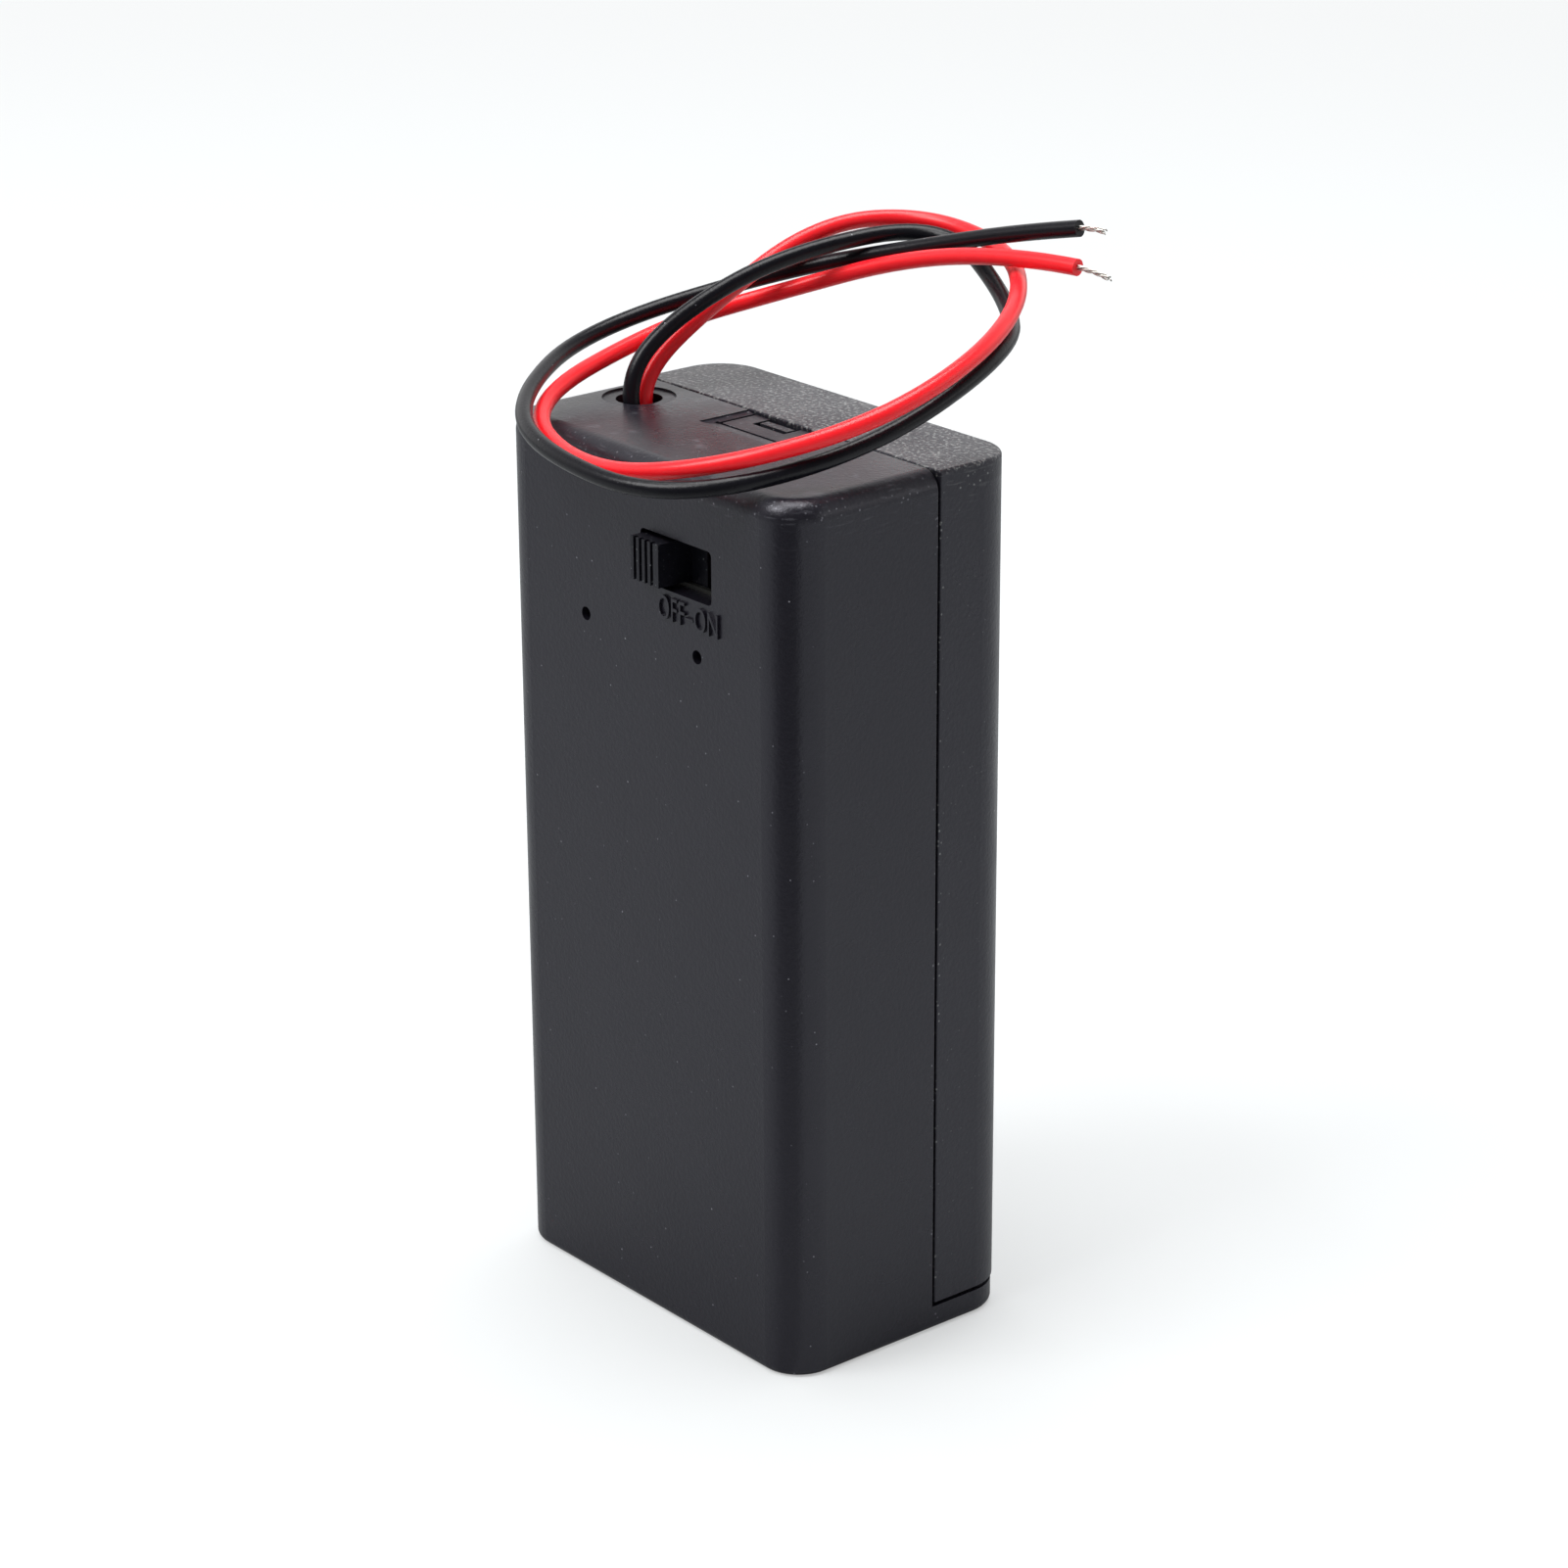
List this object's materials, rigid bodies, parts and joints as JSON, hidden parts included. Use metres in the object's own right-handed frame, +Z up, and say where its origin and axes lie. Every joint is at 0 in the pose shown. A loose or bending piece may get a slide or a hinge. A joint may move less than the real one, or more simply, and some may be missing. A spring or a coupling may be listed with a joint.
{
  "type": "nine volt battery holder",
  "caption": "Closed plastic box that holds a nine volt battery, with a slide switch in its face, a clip-in back cover and red and black wire leads.",
  "frame": {"origin": "middle of the closed box's base, on the surface it stands on", "axes": "+X right along the switch face, +Y from the switch face to the back cover, +Z up"},
  "size_m": [0.0374, 0.0413, 0.0834],
  "materials": {
    "black_abs": "fine spark-eroded texture, matte",
    "black_knob": "smooth moulded, matte",
    "fibre_board": "pressed vulcanised fibre",
    "phenolic_board": "phenolic paper board",
    "plated_brass": "nickel plated, pressed",
    "brass": "pressed, bright",
    "tinned_brass": "tin plated, dull",
    "plated_steel": "zinc plated sheet",
    "contact_copper": "spring bronze",
    "silvered_brass": "silver plated",
    "red_pvc": "glossy extruded insulation",
    "black_pvc": "semi-gloss extruded insulation",
    "tinned_copper": "tinned strands",
    "solder": "solidified solder"
  },
  "bodies": {
    "case": {"case": "black_abs", "snap_plate": "fibre_board", "snap_stud": "plated_brass", "snap_socket": "plated_brass", "stud_rivet": "brass", "socket_rivet": "brass", "negative_tag": "tinned_brass", "positive_tag": "tinned_brass", "switch_can": "plated_steel", "switch_base": "phenolic_board", "switch_terminal_1": "silvered_brass", "switch_terminal_2": "silvered_brass", "switch_terminal_3": "silvered_brass", "red_lead": "red_pvc", "red_jumper": "red_pvc", "black_lead": "black_pvc", "red_lead_strands": "tinned_copper", "black_lead_strands": "tinned_copper", "solder_joints": "solder"},
    "cover": {"cover": "black_abs"},
    "switch_knob": {"switch_slider": "black_knob", "switch_bridge": "contact_copper"}
  },
  "joints": [
    {"name": "cover_hinge", "type": "hinge", "parent": "case", "child": "cover", "pos_m": [0, 0.01085, 0.00205], "axis": [-1, 0, 0], "range_deg": [0, 40]},
    {"name": "switch_slide", "type": "slide", "parent": "case", "child": "switch_knob", "axis": [1, 0, 0], "range_m": [0, 0.0047]}
  ]
}
